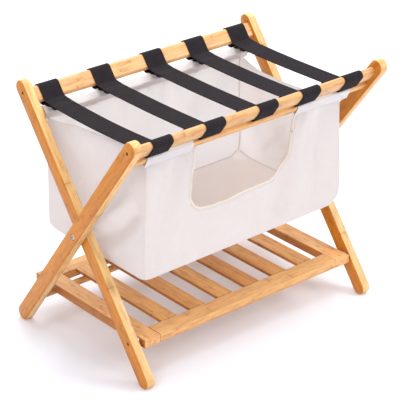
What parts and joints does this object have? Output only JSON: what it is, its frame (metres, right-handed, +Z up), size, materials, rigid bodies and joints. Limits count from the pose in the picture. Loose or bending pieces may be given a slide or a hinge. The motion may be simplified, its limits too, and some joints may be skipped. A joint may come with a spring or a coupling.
{
  "type": "folding luggage rack",
  "caption": "Folding bamboo luggage rack with webbing straps, a hanging canvas bag with a front window, and a slatted shelf that folds up between the crossed legs.",
  "frame": {"origin": "on the floor, under the middle of the open rack's bounding box", "axes": "+X to the right along the top rails, +Y to the back, +Z up; the bag's window is at the front"},
  "size_m": [0.68, 0.424, 0.5531],
  "materials": {
    "bamboo": "satin varnish",
    "webbing": "woven matt",
    "canvas": "plain weave, matt",
    "zinc_steel": "satin zinc plate"
  },
  "bodies": {
    "inner_frame": {"back_bag_bar": "bamboo", "back_rail_pin_left": "bamboo", "back_rail_pin_right": "bamboo", "back_rail_screw_left": "zinc_steel", "back_rail_screw_right": "zinc_steel", "back_top_rail": "bamboo", "bag_back_casing": "canvas", "bag_back_panel": "canvas", "bag_bottom": "canvas", "bag_left_panel": "canvas", "bag_right_panel": "canvas", "inner_leg_left": "bamboo", "inner_leg_right": "bamboo", "pivot_bolt_left": "zinc_steel", "pivot_bolt_right": "zinc_steel", "pivot_nut_left": "zinc_steel", "pivot_nut_right": "zinc_steel", "pivot_washer_left": "zinc_steel", "pivot_washer_right": "zinc_steel", "shelf_bolt_left": "zinc_steel", "shelf_bolt_right": "zinc_steel", "shelf_spacer_left": "zinc_steel", "shelf_spacer_right": "zinc_steel", "strap_1": "webbing", "strap_2": "webbing", "strap_3": "webbing", "strap_4": "webbing", "strap_5": "webbing"},
    "outer_frame": {"bag_front_casing_left": "canvas", "bag_front_casing_right": "canvas", "bag_front_panel": "canvas", "front_bag_bar": "bamboo", "front_rail_pin_left": "bamboo", "front_rail_pin_right": "bamboo", "front_rail_screw_left": "zinc_steel", "front_rail_screw_right": "zinc_steel", "front_top_rail": "bamboo", "outer_leg_left": "bamboo", "outer_leg_right": "bamboo", "shelf_rest_dowel": "bamboo"},
    "shelf": {"shelf_back_rail": "bamboo", "shelf_end_left": "bamboo", "shelf_end_right": "bamboo", "shelf_front_rail": "bamboo", "shelf_insert_left": "zinc_steel", "shelf_insert_right": "zinc_steel", "shelf_slat_1": "bamboo", "shelf_slat_2": "bamboo", "shelf_slat_3": "bamboo", "shelf_slat_4": "bamboo", "shelf_slat_5": "bamboo", "shelf_slat_6": "bamboo"}
  },
  "joints": [
    {"name": "fold", "type": "hinge", "parent": "inner_frame", "child": "outer_frame", "pos_m": [0, 0, 0.2762], "axis": [-1, 0, 0], "range_deg": [0, 67], "deforming": ["strap_1", "strap_2", "strap_3", "strap_4", "strap_5", "bag_back_panel", "bag_bottom", "bag_front_panel", "bag_left_panel", "bag_right_panel"]},
    {"name": "shelf_lift", "type": "hinge", "parent": "inner_frame", "child": "shelf", "pos_m": [0, -0.1485, 0.0832], "axis": [1, 0, 0], "range_deg": [0, 47]}
  ],
  "couplings": [
    {"joint": "shelf_lift", "follows": "fold", "ratio": 0.7}
  ]
}
